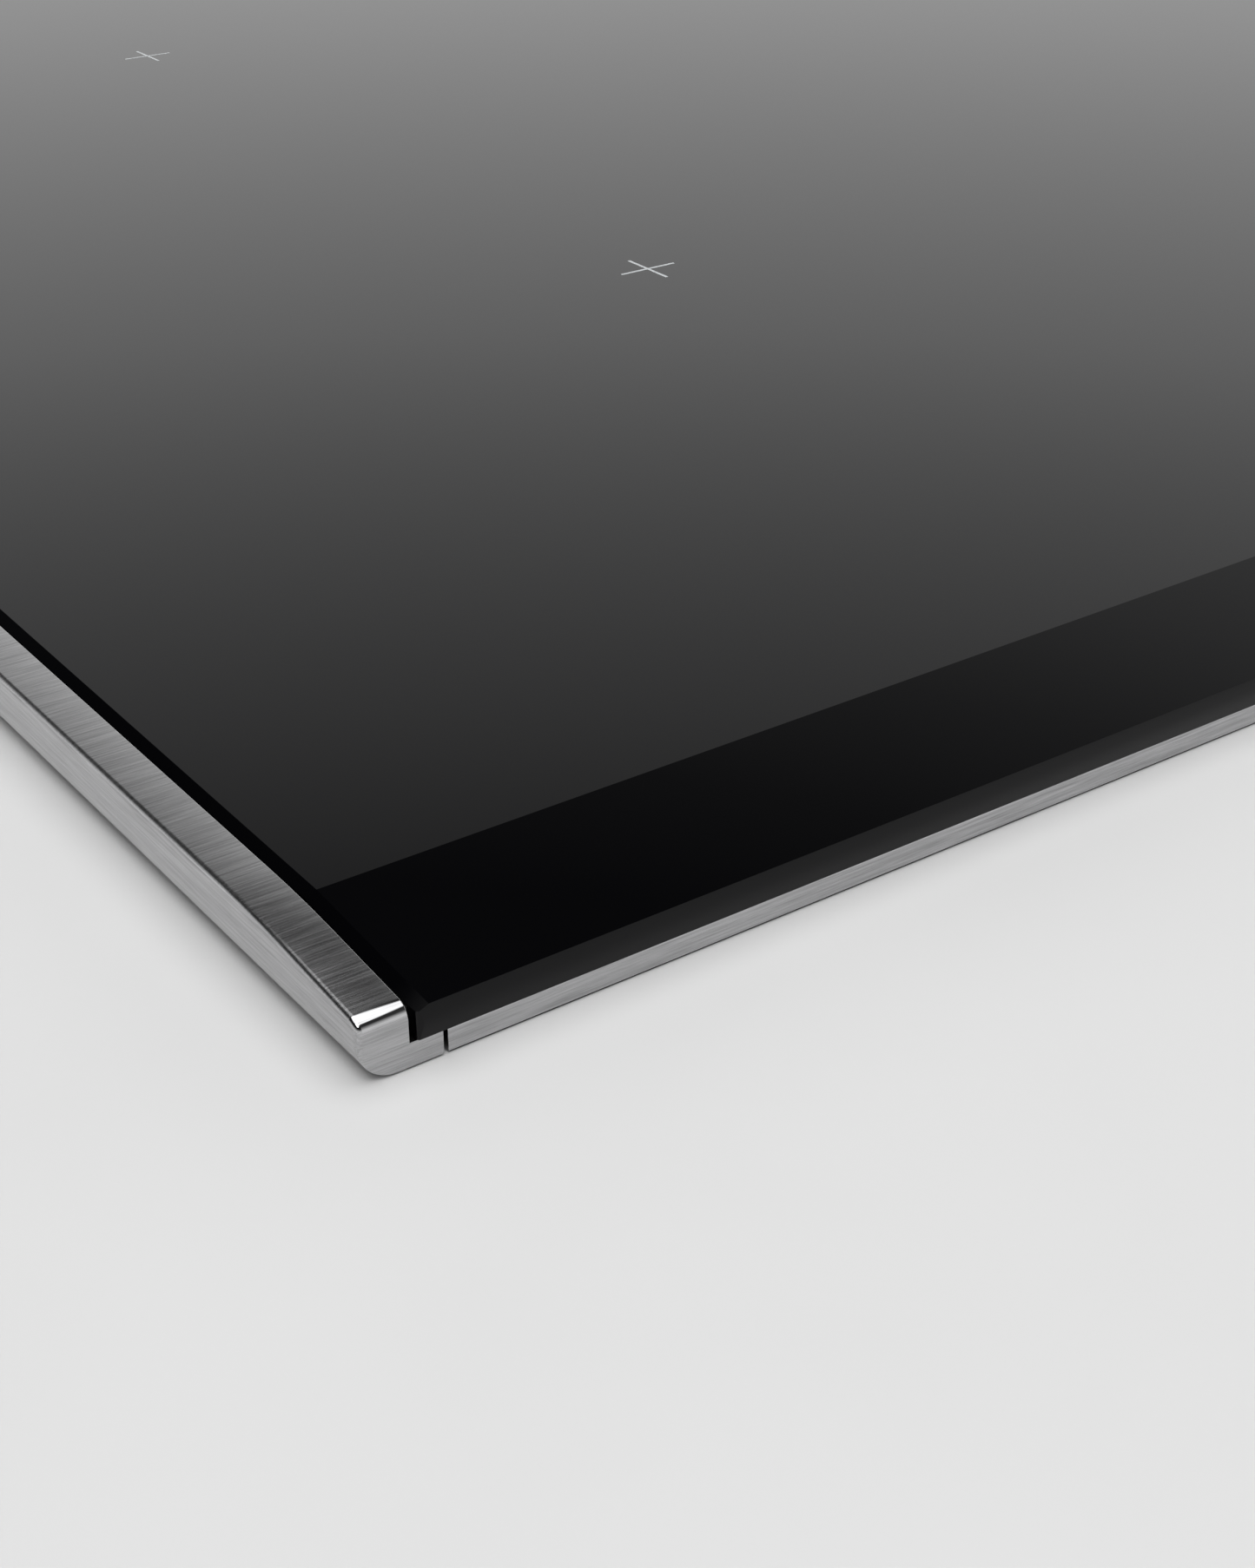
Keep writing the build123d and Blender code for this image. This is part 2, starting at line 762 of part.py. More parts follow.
def fan_housing():
    """Right fan housing: a round chamber with an outlet to the front and the spindle in its roof."""
    floor = casing_sheet
    roof = floor + fan_height
    outer_radius = fan_inner_radius + fan_wall
    outlet_y = fan_y - outlet_length
    reach = outlet_half_width + fan_wall
    housing = rod(outer_radius, fan_x, fan_y, floor, roof)
    housing += block(fan_x - reach, fan_x + reach, outlet_y, fan_y, floor, roof)
    housing -= rod(fan_inner_radius, fan_x, fan_y, floor - 1, roof - fan_wall)
    housing -= block(
        fan_x - outlet_half_width, fan_x + outlet_half_width, outlet_y - 1, fan_y, floor - 1, roof - fan_wall
    )
    collar_top = rotor_bottom - spindle_collar_gap
    housing += rod(spindle_radius, fan_x, fan_y, collar_top - spindle_collar, roof)
    return housing + rod(spindle_collar_radius, fan_x, fan_y, collar_top - spindle_collar, collar_top)


def fan_rotor():
    """Right rotor: hub, carrying disc, forward-curved blades and the ring that ties them."""
    rotor = rod(rotor_hub_radius, 0, 0, rotor_bottom, rotor_top)
    rotor += rod(rotor_radius, 0, 0, rotor_top - rotor_plate, rotor_top)
    ring_top = rotor_bottom + rotor_ring_height
    rotor += rod(rotor_radius, 0, 0, rotor_bottom, ring_top) - rod(
        rotor_radius - rotor_ring_width, 0, 0, rotor_bottom - 1, ring_top + 1
    )
    half, top = blade_thickness / 2, rotor_top - rotor_plate / 2
    blade = block(-blade_length, 0, -half, half, rotor_bottom, top)
    blade = Pos(rotor_radius - blade_thickness, 0, 0) * Rot(0, 0, blade_angle) * blade
    rotor += [Rot(0, 0, 360 * number / rotor_blades) * blade for number in range(rotor_blades)]
    rotor -= rod(spindle_radius + spindle_clearance, 0, 0, rotor_bottom - 1, rotor_top + 1)
    return Pos(fan_x, fan_y, 0) * rotor


# ---- Mains connection ----


def terminal_box():
    """Plastic box in the casing's rear wall: open at the back on the left, a cable entry on the right."""
    rear = casing_half_depth
    half = box_half_width
    box = block(-half, half, box_front_y, rear, casing_sheet, box_top)
    low = casing_sheet + box_wall
    high = box_top - box_wall
    box -= block(-half + box_wall, partition_x, box_front_y + box_wall, rear + 1, low, high)
    box -= block(0, half - box_wall, box_front_y + box_wall, rear - box_wall, low, high)
    box -= rod_y(gland_body_radius + gland_fit, rear - box_wall - 1, rear + 1, gland_x, gland_z)
    for x in (-half, partition_x):
        box += block(x, x + box_wall, rear - box_wall, rear + ear_length, ear_bottom, box_top)
    pin_hole = hinge_radius + hinge_clearance
    return box - rod_x(pin_hole, -half - 1, partition_x + box_wall + 1, hinge_y, hinge_z)


def terminal_cover():
    """Cover over the terminals, on pins at its top edge, with a finger tab below."""
    left = -box_half_width + box_wall + cover_side_gap
    right = partition_x - cover_side_gap
    near = casing_half_depth + cover_rear_gap
    far = near + cover_thickness
    middle = (left + right) / 2
    cover = block(left, right, near, far, cover_sill, hinge_z)
    cover += rod_x(hinge_radius, -box_half_width, partition_x + box_wall, hinge_y, hinge_z)
    tab_reach = cover_tab_half_width
    x0, x1 = middle - tab_reach, middle + tab_reach
    return cover + block(x0, x1, near, far + cover_tab, cover_sill, cover_sill + cover_tab_height)


def terminal_places():
    """X of each way of the terminal block."""
    return [terminal_x + terminal_pitch * (way - (terminal_ways - 1) / 2) for way in range(terminal_ways)]


def terminal_block():
    """Terminal block with wire entries at the back and grooves between its ways."""
    floor = casing_sheet + box_wall
    front = box_front_y + box_wall + terminal_setback
    rear = front + terminal_depth
    top = floor + terminal_height
    reach = terminal_pitch * terminal_ways / 2
    body = block(terminal_x - reach, terminal_x + reach, front, rear, floor, top)
    for x in terminal_places():
        entry_z = floor + terminal_height / 2
        body -= rod_y(terminal_pitch / 4, rear - terminal_entry_depth, rear + 1, x, entry_z)
    for x in terminal_places()[1:]:
        seam = x - terminal_pitch / 2
        x0, x1 = seam - terminal_groove / 2, seam + terminal_groove / 2
        body -= block(x0, x1, front - 1, rear + 1, top - terminal_groove_depth, top + 1)
    return body


def terminal_screws():
    """Slotted screws on the terminal block."""
    top = casing_sheet + box_wall + terminal_height
    middle = box_front_y + box_wall + terminal_setback + terminal_depth / 2
    head = rod(terminal_screw_radius, 0, 0, 0, terminal_screw_height)
    slot = Box(terminal_screw_radius * 3, recess_width, terminal_screw_height)
    head -= Pos(0, 0, terminal_screw_height) * slot
    return group([Pos(x, middle, top) * head for x in terminal_places()])


def cable_gland():
    """Gland in the box's rear wall with a through bore for the mains cable."""
    rear = casing_half_depth
    gland = rod_y(gland_flange_radius, rear, rear + gland_flange, gland_x, gland_z)
    rim = gland.edges().group_by(Axis.Y)[-1]
    gland = fillet(rim, 0.8)
    gland += rod_y(gland_body_radius, rear - gland_inner_length, rear + gland_flange / 2, gland_x, gland_z)
    y0, y1 = rear - gland_inner_length - 1, rear + gland_flange + 1
    return gland - rod_y(gland_bore_radius, y0, y1, gland_x, gland_z)


# ---- Touch control unit ----


def control_carrier():
    """Plastic tray on legs that holds the control board under the glass."""
    low = control_bottom
    high = glass_bottom - bead_thickness
    half = control_half_width
    carrier = block(-half, half, control_front_y, control_rear_y, low, high)
    wall = control_wall
    inner, y0, y1 = half - wall, control_front_y + wall, control_rear_y - wall
    carrier -= block(-inner, inner, y0, y1, low + control_floor, high + 1)
    middle = (control_front_y + control_rear_y) / 2
    for x in (-control_leg_x, control_leg_x):
        carrier += rod(control_leg_radius, x, middle, casing_sheet, control_board_bottom)
    return carrier


def control_board():
    """Board of the touch controls."""
    inset = control_wall + control_fit
    return block(
        -control_half_width + inset,
        control_half_width - inset,
        control_front_y + inset,
        control_rear_y - inset,
        control_board_bottom,
        control_board_bottom + board_thickness,
    )


def touch_springs():
    """Conductive pads between the board and the glass, one under each touch field."""
    low = control_board_bottom + board_thickness
    high = glass_bottom - control_fit
    y = control_front_y + touch_pad_inset
    pads = []
    for number in range(touch_pads):
        x = touch_pad_pitch * (number - (touch_pads - 1) / 2)
        pads.append(rod(touch_pad_radius, x, y, low, high) - rod(touch_pad_bore, x, y, low - 1, high + 1))
    return group(pads)


def displays():
    """Segment displays, one for each cooking zone."""
    low = control_board_bottom + board_thickness
    high = glass_bottom - control_fit
    width, depth = display_size
    y = control_front_y + display_inset
    modules = []
    for number in range(display_count):
        x = display_pitch * (number - (display_count - 1) / 2)
        modules.append(block(x - width / 2, x + width / 2, y - depth / 2, y + depth / 2, low, high))
    return group(modules)


def build():
    """Every node of the cooktop by its name."""
    strip_front = strip(trim_front_y, trim_front_y + strip_depth, trim_front_y)
    strip_rear = strip(rear_y - strip_depth, rear_y, rear_y)
    bead = ring(
        frame_half_width - bead_inset,
        frame_front_y + bead_inset,
        frame_rear_y - bead_inset,
        bead_width,
        frame_top,
        glass_bottom,
    )
    right_board = board(board_inner_x, board_outer_x, board_front_y, board_rear_y)
    transistor_x = sink_inner_x - transistor_size[0] / 2
    sink_middle = (sink_front_y + sink_rear_y) / 2
    transistors = row_along_y(transistor_size, transistor_x, sink_middle, transistor_pitch, transistor_count)
    capacitors = row_along_y(capacitor_size, capacitor_x, sink_middle, capacitor_pitch, capacitor_count)
    nodes = {
        "glass_panel": glass_plate(),
        "trim_left": side_trim(),
        "strip_front": strip_front,
        "strip_rear": strip_rear,
        "edge_seal_left": edge_silicone(),
        "worktop_seal": worktop_seal(),
        "glass_adhesive": bead,
        "carrier_frame": carrier_frame(),
        "frame_screws": frame_screws(),
        "casing_tray": casing_tray(),
        "coil_plate": coil_plate(),
        "plate_posts": plate_posts(),
        "plate_screws": plate_screws(),
        "ferrite_bars": ferrite_bars(),
        "mica_sheets": mica_sheets(),
        "coil_springs": coil_springs(),
        "power_board_right": right_board,
        "filter_board": board(-filter_half_width, filter_half_width, filter_front_y, filter_rear_y),
        "board_studs": board_studs(),
        "heatsink_right": heatsink(),
        "power_transistors": on_both_boards(transistors),
        "capacitors": on_both_boards(capacitors),
        "filter_chokes": filter_chokes(),
        "fan_housing_right": fan_housing(),
        "fan_rotor_right": fan_rotor(),
        "terminal_box": terminal_box(),
        "terminal_cover": terminal_cover(),
        "terminal_block": terminal_block(),
        "terminal_screws": terminal_screws(),
        "cable_gland": cable_gland(),
        "control_carrier": control_carrier(),
        "control_board": control_board(),
        "touch_springs": touch_springs(),
        "displays": displays(),
        "clip_front_right": retaining_clip(clip_y[0]),
        "clip_rear_right": retaining_clip(clip_y[1]),
    }
    for name, x, y, radius, _ in coils:
        nodes["coil_carrier_" + name] = coil_carrier(x, y, radius)
        nodes["coil_winding_" + name] = coil_winding(x, y, radius)
        nodes["sensor_" + name] = sensor(x, y)
        nodes["sensor_spring_" + name] = sensor_spring(x, y)
    nodes["trim_right"] = mirrored(nodes["trim_left"])
    nodes["edge_seal_right"] = mirrored(nodes["edge_seal_left"])
    for name in ("power_board", "heatsink", "fan_housing", "fan_rotor", "clip_front", "clip_rear"):
        nodes[name + "_left"] = mirrored(nodes[name + "_right"])
    return nodes


os.makedirs("parts", exist_ok=True)
for node, shape in build().items():
    export_step(shape, f"parts/{node}.step")
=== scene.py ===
import json
import math

import bmesh
import bpy
from bpy.props import FloatProperty, FloatVectorProperty, IntProperty, PointerProperty, StringProperty
from mathutils import Euler, Matrix, Vector


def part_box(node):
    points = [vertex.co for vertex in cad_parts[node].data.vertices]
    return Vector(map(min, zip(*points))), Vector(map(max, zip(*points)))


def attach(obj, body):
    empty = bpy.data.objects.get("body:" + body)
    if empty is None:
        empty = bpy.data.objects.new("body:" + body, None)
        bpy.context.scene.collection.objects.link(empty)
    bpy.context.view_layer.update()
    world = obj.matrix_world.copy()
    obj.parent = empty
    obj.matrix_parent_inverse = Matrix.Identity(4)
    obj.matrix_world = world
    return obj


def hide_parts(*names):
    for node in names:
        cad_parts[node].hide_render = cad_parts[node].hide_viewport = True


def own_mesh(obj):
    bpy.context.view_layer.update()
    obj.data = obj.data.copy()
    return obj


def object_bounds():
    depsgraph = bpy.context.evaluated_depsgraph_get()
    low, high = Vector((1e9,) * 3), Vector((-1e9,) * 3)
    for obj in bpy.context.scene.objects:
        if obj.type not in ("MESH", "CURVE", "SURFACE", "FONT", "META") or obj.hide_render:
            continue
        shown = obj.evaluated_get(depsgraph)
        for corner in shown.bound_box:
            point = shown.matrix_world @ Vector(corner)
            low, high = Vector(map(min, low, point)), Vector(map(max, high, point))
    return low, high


bl_info = {
    "name": "Induction Cooktop Looks",
    "version": (1, 0, 0),
    "blender": (4, 5, 0),
    "location": "View3D > Sidebar > Cooktop",
    "description": "Finishes, prints and the studio stage of a built-in induction cooktop",
    "category": "Object",
}

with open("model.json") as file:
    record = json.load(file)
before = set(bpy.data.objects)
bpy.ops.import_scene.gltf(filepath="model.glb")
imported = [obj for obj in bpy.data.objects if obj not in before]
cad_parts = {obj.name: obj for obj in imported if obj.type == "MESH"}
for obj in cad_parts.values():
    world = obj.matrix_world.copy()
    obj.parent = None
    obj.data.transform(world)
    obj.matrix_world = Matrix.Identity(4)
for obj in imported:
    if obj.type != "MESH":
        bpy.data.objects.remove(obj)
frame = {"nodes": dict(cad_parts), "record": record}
CAD_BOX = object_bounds()
MM = 0.001

# Places read from the frame, in metres
GLASS_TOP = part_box("glass_panel")[1][2]
TRIM_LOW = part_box("trim_left")[0]
SEAT_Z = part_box("worktop_seal")[0][2]
ZONES = ("front_left", "rear_left", "front_right", "rear_right")

# Crown of the trims' tops, in metres: its radius, and where the trims' inner faces are
CROWN_RADIUS = 0.045
TRIM_WALL_X = 0.297

# Springs under the sensors, in metres; the travel has a tenth of a millimetre to spare
SPRING_WIRE = 0.00045
SPRING_TURNS = 4

# Studio bands: elevation in degrees and radiance, where None is the overhead softbox
WALL_BANDS = (
    (0, 1.08), (12, 1.0), (19, 0.88), (22, 0.74), (25, 0.62), (28, 0.51), (31, 0.38),
    (34, 0.22), (37, 0.11), (40, 0.05), (52, 0.05), (57, None), (90, None),
)
LEFT_BANDS = ((0, 1.0), (14, 0.8), (22, 0.4), (28, 0.06), (34, 0.02), (52, 0.02), (57, None), (90, None))


# ---- Small helpers ----


def linear(colour, alpha=1.0):
    """Linear colour from an sRGB hex value."""
    channels = [int(colour[i : i + 2], 16) / 255 for i in (1, 3, 5)]
    bent = [c / 12.92 if c <= 0.04045 else ((c + 0.055) / 1.055) ** 2.4 for c in channels]
    return (*bent, alpha)


def add(tree, kind, settings=None, inputs=None):
    """Adds one node; settings are its properties, inputs its socket values or what feeds them."""
    node = tree.nodes.new(kind)
    for name, value in (settings or {}).items():
        setattr(node, name, value)
    for name, value in (inputs or {}).items():
        socket = node.inputs[name]
        if isinstance(value, bpy.types.NodeSocket):
            tree.links.new(value, socket)
        else:
            socket.default_value = value
    return node


def new_material(name, colour, roughness, metallic=0.0, **sockets):
    """A material with one Principled shader set to its plain values."""
    material = bpy.data.materials.new(name)
    material.use_nodes = True
    material.diffuse_color = linear(colour)
    shader = material.node_tree.nodes["Principled BSDF"]
    shader.inputs["Base Color"].default_value = linear(colour)
    shader.inputs["Roughness"].default_value = roughness
    shader.inputs["Metallic"].default_value = metallic
    for socket, value in sockets.items():
        shader.inputs[socket.replace("_", " ")].default_value = value
    return material, material.node_tree, shader


def object_point(tree, scale=(1, 1, 1)):
    """Object coordinates in millimetres, stretched by scale."""
    where = add(tree, "ShaderNodeTexCoord").outputs["Object"]
    size = [axis / MM for axis in scale]
    return add(tree, "ShaderNodeMapping", None, {"Vector": where, "Scale": size}).outputs["Vector"]


def noise(tree, point, size_mm, detail=2.0, weight=0.5):
    """Noise whose features are about size_mm across, with finer ones in it by weight."""
    inputs = {"Vector": point, "Scale": 1 / size_mm, "Detail": detail, "Roughness": weight}
    return add(tree, "ShaderNodeTexNoise", None, inputs).outputs["Fac"]


def spread(tree, value, low, high):
    """Noise output spread between two values."""
    node = add(tree, "ShaderNodeMapRange", None, {"Value": value, "From Min": 0.3, "From Max": 0.7})
    node.inputs["To Min"].default_value = low
    node.inputs["To Max"].default_value = high
    return node.outputs["Result"]


def tinted(tree, value, dark, light):
    """Colour between two hex values by a noise output."""
    factor = spread(tree, value, 0.0, 1.0)
    node = add(tree, "ShaderNodeMix", {"data_type": "RGBA"})
    tree.links.new(factor, node.inputs[0])
    node.inputs[6].default_value = linear(dark)
    node.inputs[7].default_value = linear(light)
    return node.outputs[2]


def math_node(tree, operation, first, second=0.0):
    """The result of one sum on two values."""
    return add(tree, "ShaderNodeMath", {"operation": operation}, {0: first, 1: second}).outputs[0]


def bump(tree, shader, height, depth_mm, strength=1.0):
    """Feeds the shader's normal from a height of depth_mm."""
    inputs = {"Height": height, "Distance": depth_mm * MM, "Strength": strength}
    node = add(tree, "ShaderNodeBump", None, inputs)
    tree.links.new(node.outputs["Normal"], shader.inputs["Normal"])


# ---- Materials, each named for the real one ----


def black_glass_ceramic():
    """Rolled and polished glass-ceramic: deep black, mirror-flat, with the faintest waviness."""
    material, tree, shader = new_material("black_glass_ceramic", "#020203", 0.03, IOR=1.28)
    waves = noise(tree, object_point(tree), 60.0, 1.0)
    bump(tree, shader, waves, 0.004)
    haze = noise(tree, object_point(tree), 9.0, 3.0)
    tree.links.new(spread(tree, haze, 0.02, 0.035), shader.inputs["Roughness"])
    return material


def brushed_stainless():
    """Stainless steel brushed across the trims and along the strips, with the trims' noses polished."""
    material, tree, shader = new_material("brushed_stainless", "#acacad", 0.2, 1.0)
    # Hairlines are about 0.03 mm wide on real steel and lie in streaks of a few tenths
    across = noise(tree, object_point(tree, (0.025, 1, 1)), 0.26, 4.0, 0.72)
    along = noise(tree, object_point(tree, (1, 0.025, 1)), 0.26, 4.0, 0.72)
    normal = add(tree, "ShaderNodeNewGeometry").outputs["Normal"]
    facing = add(tree, "ShaderNodeSeparateXYZ", None, {"Vector": normal})
    side = math_node(tree, "ABSOLUTE", facing.outputs["X"])
    side = math_node(tree, "GREATER_THAN", side, 0.8)
    lines = add(tree, "ShaderNodeMix", {"data_type": "FLOAT"})
    tree.links.new(side, lines.inputs[0])
    tree.links.new(across, lines.inputs[2])
    tree.links.new(along, lines.inputs[3])
    lines = lines.outputs[0]
    tree.links.new(tinted(tree, lines, "#969697", "#c2c2c3"), shader.inputs["Base Color"])
    # The nose is where the face turns from the slope to the front; polishing wipes its hairlines out
    turned = math_node(tree, "LESS_THAN", facing.outputs["Y"], -0.13)
    upright = math_node(tree, "GREATER_THAN", facing.outputs["Z"], 0.12)
    nose = math_node(tree, "MULTIPLY", turned, upright)
    kept = math_node(tree, "SUBTRACT", 1.0, math_node(tree, "MULTIPLY", nose, 0.75))
    gloss = spread(tree, lines, 0.17, 0.25)
    tree.links.new(math_node(tree, "MULTIPLY", gloss, kept), shader.inputs["Roughness"])
    # The rolled trims are crowned by a tenth of a millimetre, so that light fades across their tops
    place = add(tree, "ShaderNodeTexCoord").outputs["Object"]
    place = add(tree, "ShaderNodeSeparateXYZ", None, {"Vector": place}).outputs["X"]
    middle = (abs(TRIM_LOW[0]) + TRIM_WALL_X) / 2
    reach = (abs(TRIM_LOW[0]) - TRIM_WALL_X) / 2
    out = math_node(tree, "SUBTRACT", math_node(tree, "ABSOLUTE", place), middle)
    out = math_node(tree, "MAXIMUM", math_node(tree, "MINIMUM", out, reach), -reach)
    drop = math_node(tree, "MULTIPLY", math_node(tree, "MULTIPLY", out, out), -1 / (2 * CROWN_RADIUS))
    fine = math_node(tree, "MULTIPLY", math_node(tree, "MULTIPLY", lines, kept), 0.0042 * MM)
    height = math_node(tree, "ADD", fine, drop)
    node = add(tree, "ShaderNodeBump", None, {"Height": height, "Distance": 1.0, "Strength": 1.0})
    tree.links.new(node.outputs["Normal"], shader.inputs["Normal"])
    return material


def speckled(name, dark, light, size_mm, roughness, metallic=0.0, depth_mm=0.0, **sockets):
    """A finish with two close colours mixed by grain of a real size, and roughness that follows it."""
    material, tree, shader = new_material(name, light, roughness, metallic, **sockets)
    grain = noise(tree, object_point(tree), size_mm, 3.0)
    tree.links.new(tinted(tree, grain, dark, light), shader.inputs["Base Color"])
    gloss = spread(tree, grain, roughness * 0.85, min(1.0, roughness * 1.15))
    tree.links.new(gloss, shader.inputs["Roughness"])
    if depth_mm:
        bump(tree, shader, grain, depth_mm, 0.7)
    return material


def galvanised_sheet():
    """Hot-dip galvanised sheet: flat spangles of zinc, each with its own grey and gloss."""
    material, tree, shader = new_material("galvanised_sheet", "#a9adb0", 0.4, 1.0)
    cells = add(tree, "ShaderNodeTexVoronoi", None, {"Vector": object_point(tree), "Scale": 1 / 6.0})
    grey = add(tree, "ShaderNodeSeparateColor", None, {"Color": cells.outputs["Color"]}).outputs["Red"]
    grain = noise(tree, object_point(tree), 0.8, 3.0)
    # The cells run over 0 to 1, the spread below takes 0.3 to 0.7
    cell = math_node(tree, "MULTIPLY", grey, 0.28)
    shade = math_node(tree, "ADD", cell, math_node(tree, "MULTIPLY", grain, 0.5))
    tree.links.new(tinted(tree, shade, "#9ea2a5", "#bbbec0"), shader.inputs["Base Color"])
    tree.links.new(spread(tree, shade, 0.36, 0.48), shader.inputs["Roughness"])
    bump(tree, shader, grain, 0.01, 0.5)
    return material


def mill_aluminium(name, line_axis):
    """Rolled or extruded aluminium: pale metal with fine die lines along one axis."""
    material, tree, shader = new_material(name, "#c9cacc", 0.36, 1.0)
    scale = [0.03 if axis == line_axis else 1.0 for axis in "XYZ"]
    lines = noise(tree, object_point(tree, scale), 0.4, 3.0)
    tree.links.new(tinted(tree, lines, "#b3b4b6", "#d8d9da"), shader.inputs["Base Color"])
    tree.links.new(spread(tree, lines, 0.3, 0.45), shader.inputs["Roughness"])
    bump(tree, shader, lines, 0.01, 0.5)
    return material


def circuit_laminate():
    """Glass fibre laminate under green solder resist; copper tracks show as lighter bands."""
    material, tree, shader = new_material("circuit_board", "#1f5a34", 0.3, IOR=1.5)
    point = object_point(tree)
    tracks = add(tree, "ShaderNodeTexBrick", None, {"Vector": point, "Scale": 1 / 9.0, "Mortar Size": 0.06})
    tracks.inputs["Color1"].default_value = linear("#184a2a")
    tracks.inputs["Color2"].default_value = linear("#1c5330")
    tracks.inputs["Mortar"].default_value = linear("#2f7a45")
    tree.links.new(tracks.outputs["Color"], shader.inputs["Base Color"])
    weave = noise(tree, point, 0.5, 2.0)
    tree.links.new(spread(tree, weave, 0.25, 0.38), shader.inputs["Roughness"])
    bump(tree, shader, tracks.outputs["Fac"], 0.03, 0.6)
    return material


def white_print():
    """Ceramic ink fired into the glass: pale grey, matt, very slightly rough at its edge."""
    return speckled("white_print", "#9c9fa1", "#b9bcbe", 0.5, 0.55)


def display_window():
    """Tinted display field under the glass: dark red-brown gloss."""
    return speckled("display_window", "#120607", "#1a090a", 3.0, 0.12)


def make_materials():
    """Every finish by the record's slot name."""
    made = {
        "black_glass_ceramic": black_glass_ceramic(),
        "brushed_stainless": brushed_stainless(),
        "galvanised_sheet": galvanised_sheet(),
        "aluminium_sheet": mill_aluminium("aluminium_sheet", "X"),
        "aluminium_extrusion": mill_aluminium("aluminium_extrusion", "Y"),
        "circuit_board": circuit_laminate(),
        # Silicone: matt black, slightly tacky skin
        "black_silicone": speckled("black_silicone", "#070707", "#0e0e0e", 0.6, 0.7, depth_mm=0.03),
        # Closed-cell foam: open skin of small cells
        "grey_foam": speckled("grey_foam", "#2c2d2e", "#46484a", 0.5, 0.95, depth_mm=0.15),
        # Zinc plate: bright, a little cloudy
        "zinc_screw": speckled("zinc_screw", "#a5a8aa", "#cfd2d4", 0.7, 0.28, 1.0),
        # Glass-filled polyamide: satin with a fine eroded grain
        "black_polyamide": speckled("black_polyamide", "#131314", "#202122", 0.35, 0.5, depth_mm=0.04),
        "grey_polyamide": speckled("grey_polyamide", "#626466", "#77797b", 0.35, 0.5, depth_mm=0.04),
        "white_polyamide": speckled("white_polyamide", "#c9c8c0", "#dcdbd3", 0.4, 0.42, depth_mm=0.02),
        # Ferrite: sintered, dull dark grey
        "ferrite": speckled("ferrite", "#232325", "#3a3a3d", 0.5, 0.62, depth_mm=0.03),
        # Mica: pressed flakes in tan
        "mica": speckled("mica", "#8b7554", "#b7a27c", 1.6, 0.4),
        # Litz wire: enamelled copper strands
        "copper_litz": speckled("copper_litz", "#8f4a22", "#c9773f", 0.4, 0.35, 1.0, 0.05),
        # Spring steel: blued grey, drawn
        "spring_steel": speckled("spring_steel", "#77797d", "#a5a8ad", 0.5, 0.3, 1.0),
        # Transfer-moulded epoxy
        "black_epoxy": speckled("black_epoxy", "#161617", "#222224", 0.4, 0.4, depth_mm=0.01),
        # Resin-filled capacitor box
        "grey_film_box": speckled("grey_film_box", "#6b7176", "#80868b", 0.8, 0.35),
        "brass_screw": speckled("brass_screw", "#a8853f", "#d2b066", 0.5, 0.3, 1.0),
        "conductive_foam": speckled("conductive_foam", "#2a2a2c", "#3c3c3f", 0.3, 0.9, depth_mm=0.05),
        "display_housing": display_window(),
        # Steatite: unglazed white ceramic
        "white_ceramic": speckled("white_ceramic", "#cdcac2", "#e2dfd8", 0.4, 0.6, depth_mm=0.01),
        "white_print": white_print(),
    }
    return made


MATERIALS = make_materials()


def finish_nodes(nodes):
    """Gives carried-over nodes their material by the record's slots."""
    slots = {entry["node"]: entry["material_slot"] for entry in frame["record"]["subparts"]}
    for node in nodes:
        mesh = frame["nodes"][node].data
        mesh.materials.clear()
        mesh.materials.append(MATERIALS[slots[node]])


def finish_piece(bm, name, material, body="hob"):
    """Turns a bmesh into a piece that rides on a body."""
    mesh = bpy.data.meshes.new(name)
    bm.normal_update()
    bm.to_mesh(mesh)
    bm.free()
    piece = bpy.data.objects.new(name, mesh)
    bpy.context.collection.objects.link(piece)
    mesh.materials.append(material)
    if body:
        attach(piece, body)
    return piece


# ---- Printed marks on the glass ----


def add_bar(bm, centre, size, turn=0.0):
    """A thin printed bar that lies on the glass."""
    place = Matrix.Translation((*centre, GLASS_TOP)) @ Matrix.Rotation(turn, 4, "Z")
    made = bmesh.ops.create_grid(bm, x_segments=1, y_segments=1, size=0.5)
    bmesh.ops.scale(bm, vec=(*size, 1), verts=made["verts"])
    faces = list({face for vert in made["verts"] for face in vert.link_faces})
    lifted = bmesh.ops.extrude_face_region(bm, geom=faces, use_keep_orig=True)
    top = [item for item in lifted["geom"] if isinstance(item, bmesh.types.BMVert)]
    bmesh.ops.translate(bm, vec=(0, 0, bpy.context.scene.cooktop_print.height), verts=top)
    bmesh.ops.transform(bm, matrix=place, verts=made["verts"] + top)


def spun(bm, section, sweep, steps, rise=0.0):
    """Spins a closed section about Z into a ring, an arc or a spring, and returns its vertices."""
    before = set(bm.verts)
    verts = [bm.verts.new(point) for point in section]
    loop = [bm.edges.new((verts[number - 1], verts[number])) for number in range(len(verts))]
    made = bmesh.ops.spin(
        bm, geom=[*verts, *loop], cent=(0, 0, 0), axis=(0, 0, 1), dvec=(0, 0, rise / steps),
        angle=sweep, steps=steps, use_merge=sweep == math.tau, use_duplicate=False,
    )
    if sweep != math.tau:
        last = [item for item in made["geom_last"] if isinstance(item, bmesh.types.BMEdge)]
        for ends in (loop, last):
            bmesh.ops.edgenet_fill(bm, edges=ends)
    verts = [vert for vert in bm.verts if vert not in before]
    faces = list({face for vert in verts for face in vert.link_faces})
    bmesh.ops.recalc_face_normals(bm, faces=faces)
    return verts


